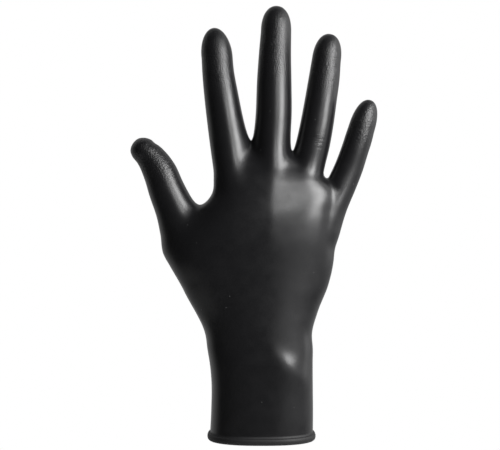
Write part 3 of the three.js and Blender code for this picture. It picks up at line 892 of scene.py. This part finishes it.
def crease_share(p):
    """1 in the middle of each creased place, falling to 0 as a bell curve of the distance from it."""
    share = np.zeros(len(p))
    for x, z, reach_x, reach_z in CREASED:
        away = ((p[:, 0] - x) / reach_x) ** 2 + ((p[:, 2] - z) / reach_z) ** 2
        share = np.maximum(share, np.exp(-away))
    return share * (p[:, 1] < 0)


def add_mesh(name, points, quads):
    """An object whose mesh has these points and quads, shaded smooth."""
    mesh = bpy.data.meshes.new(name)
    mesh.vertices.add(len(points))
    mesh.vertices.foreach_set("co", points.ravel())
    mesh.loops.add(quads.size)
    mesh.loops.foreach_set("vertex_index", quads.ravel())
    mesh.polygons.add(len(quads))
    mesh.polygons.foreach_set("loop_start", np.arange(len(quads)) * 4)
    mesh.update(calc_edges=True)
    mesh.validate()
    mesh.polygons.foreach_set("use_smooth", np.ones(len(quads), bool))
    piece = bpy.data.objects.new(name, mesh)
    bpy.context.scene.collection.objects.link(piece)
    return piece


def map_range(tree, value, span, onto, kind="LINEAR"):
    """A node that carries a value from one span onto another, in proportion or in a soft step."""
    node = tree.nodes.new("ShaderNodeMapRange")
    node.interpolation_type = kind
    for i, end in enumerate((*span, *onto)):
        node.inputs[i + 1].default_value = end
    tree.links.new(value, node.inputs[0])
    return node


def nitrile():
    """Satin black film.

    Roughness is the film's own, which noise varies a little, plus more on the grip and on the rim.
    The colour is near black with pale specks where a cell pattern is close to its points. The relief
    adds a fine orange peel, flat folds times the share of creasing, and grain times that of grip.
    """
    material = bpy.data.materials.new("satin black nitrile")
    material.use_nodes = True
    tree = material.node_tree
    nodes, links = tree.nodes, tree.links
    shader = nodes["Principled BSDF"]
    place = nodes.new("ShaderNodeTexCoord").outputs["Object"]

    def attribute(name):
        """The value that the mesh carries under a name."""
        node = nodes.new("ShaderNodeAttribute")
        node.attribute_name = name
        return node.outputs["Fac"]

    def noise(scale, detail=2.0, at=place):
        """Soft noise of a scale, from 0 to 1."""
        node = nodes.new("ShaderNodeTexNoise")
        node.inputs["Scale"].default_value = scale
        node.inputs["Detail"].default_value = detail
        links.new(at, node.inputs["Vector"])
        return node.outputs["Fac"]

    def combined(operation, a, b):
        """Two values added or multiplied."""
        node = nodes.new("ShaderNodeMath")
        node.operation = operation
        links.new(a, node.inputs[0])
        links.new(b, node.inputs[1])
        return node.outputs[0]

    def bump(relief, height, after=None):
        """The normal turned by a relief of some height, after another one."""
        node = nodes.new("ShaderNodeBump")
        node.inputs["Distance"].default_value = height
        links.new(relief, node.inputs["Height"])
        if after:
            links.new(after, node.inputs["Normal"])
        return node.outputs["Normal"]

    grip = attribute("grip")
    crease = attribute("crease")

    even = (ROUGHNESS - ROUGHNESS_VARIES, ROUGHNESS + ROUGHNESS_VARIES)
    plain = map_range(tree, noise(ROUGHNESS_SCALE), ROUGHNESS_SPAN, even).outputs[0]
    gripped = map_range(tree, grip, (0, 1), (0, GRIP_ROUGHNESS - ROUGHNESS)).outputs[0]
    axes = nodes.new("ShaderNodeSeparateXYZ")
    links.new(place, axes.inputs[0])
    rim_span = (RIM_HEIGHT + RIM_FADE[0], RIM_HEIGHT + RIM_FADE[1])
    at_rim = map_range(tree, axes.outputs["Z"], rim_span, (0, RIM_ROUGHNESS - ROUGHNESS)).outputs[0]
    rough = combined("ADD", combined("ADD", plain, gripped), at_rim)
    links.new(rough, shader.inputs["Roughness"])

    specks = nodes.new("ShaderNodeTexVoronoi")
    specks.inputs["Scale"].default_value = SPECK_SCALE
    links.new(place, specks.inputs["Vector"])
    dust = map_range(tree, specks.outputs["Distance"], SPECK_EDGE, (0, 1)).outputs[0]
    colour = nodes.new("ShaderNodeMix")
    colour.data_type = "RGBA"
    colour.inputs[6].default_value = FILM_COLOUR
    colour.inputs[7].default_value = SPECK_COLOUR
    links.new(dust, colour.inputs[0])
    links.new(colour.outputs[2], shader.inputs["Base Color"])

    flattened = nodes.new("ShaderNodeMapping")
    flattened.inputs["Scale"].default_value = FOLD_SCALES
    links.new(place, flattened.inputs["Vector"])
    folds = combined("MULTIPLY", noise(1.0, at=flattened.outputs[0]), crease)
    grain = combined("MULTIPLY", noise(GRAIN_SCALE, GRAIN_DETAIL), grip)
    peeled = bump(noise(PEEL_SCALE), PEEL_HEIGHT)
    creased = bump(folds, FOLD_HEIGHT, peeled)
    links.new(bump(grain, GRAIN_HEIGHT, creased), shader.inputs["Normal"])
    return material


def add_glove():
    """The glove's film as one piece, which carries its shares of grip and creasing at each point."""
    points, quads, mouth = outer_face()
    outer_count = len(points)
    points, quads = closed_shell(points, quads, mouth)
    piece = add_mesh("glove_film", points, quads)
    grip = np.zeros(len(points))
    grip[:outer_count] = grip_share(points[:outer_count])
    for name, share in (("grip", grip), ("crease", crease_share(points))):
        piece.data.attributes.new(name, "FLOAT", "POINT").data.foreach_set("value", share)
    piece.data.materials.append(nitrile())
    return piece


def add_floor():
    """A square of white paper below the glove."""
    mesh = bpy.data.meshes.new("floor")
    corners = [(-1, -1), (1, -1), (1, 1), (-1, 1)]
    points = [(FLOOR_HALF * x, FLOOR_HALF * y, FLOOR_AT) for x, y in corners]
    mesh.from_pydata(points, [], [(0, 1, 2, 3)])
    floor = bpy.data.objects.new("floor", mesh)
    bpy.context.scene.collection.objects.link(floor)
    paper = bpy.data.materials.new("white paper")
    paper.use_nodes = True
    shader = paper.node_tree.nodes["Principled BSDF"]
    shader.inputs["Base Color"].default_value = PAPER_COLOUR
    shader.inputs["Roughness"].default_value = PAPER_ROUGHNESS
    mesh.materials.append(paper)


def add_softbox(name, centre, width, height, radiance):
    """A soft light that faces the middle of the glove. Its power is radiance times pi times area."""
    light = bpy.data.lights.new(name, "AREA")
    light.shape = "RECTANGLE"
    light.size, light.size_y = width, height
    light.energy = radiance * math.pi * width * height
    box = bpy.data.objects.new(name, light)
    x, y, z = centre
    box.location = centre
    box.rotation_euler = (math.atan2(math.hypot(x, y), z - MIDDLE_HEIGHT), 0, math.atan2(x, -y))
    bpy.context.scene.collection.objects.link(box)


def add_world():
    """White to the camera, and to the glove white behind it and dim in front."""
    world = bpy.data.worlds.new("white ground")
    world.use_nodes = True
    tree = world.node_tree
    ground = tree.nodes["Background"]
    ground.inputs["Color"].default_value = (1, 1, 1, 1)
    toward = tree.nodes.new("ShaderNodeSeparateXYZ")
    tree.links.new(tree.nodes.new("ShaderNodeTexCoord").outputs["Generated"], toward.inputs[0])
    to_glove = map_range(
        tree, toward.outputs["Y"], ROOM_CHANGE, (ROOM_IN_FRONT, ROOM_BEHIND), "SMOOTHSTEP"
    )
    to_camera = tree.nodes.new("ShaderNodeLightPath").outputs["Is Camera Ray"]
    seen = map_range(tree, to_camera, (0, 1), (0, 1))
    tree.links.new(to_glove.outputs[0], seen.inputs[3])
    tree.links.new(seen.outputs[0], ground.inputs["Strength"])
    bpy.context.scene.world = world


def add_camera():
    """The photo's camera, level and square on to the back of the hand."""
    camera = bpy.data.cameras.new("camera")
    camera.sensor_fit = "HORIZONTAL"
    camera.sensor_width = SENSOR
    camera.lens = SENSOR * FOCAL_PX / PHOTO_WIDTH_PX
    view = bpy.data.objects.new("camera", camera)
    view.location = CAMERA_AT
    view.rotation_euler = (math.pi / 2, 0, 0)
    bpy.context.scene.collection.objects.link(view)
    bpy.context.scene.camera = view


glove = add_glove()
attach(glove, "root")
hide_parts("glove")
add_floor()
add_world()
for softbox in SOFTBOXES:
    add_softbox(*softbox)
bpy.context.scene.view_settings.view_transform = "Standard"
add_camera()
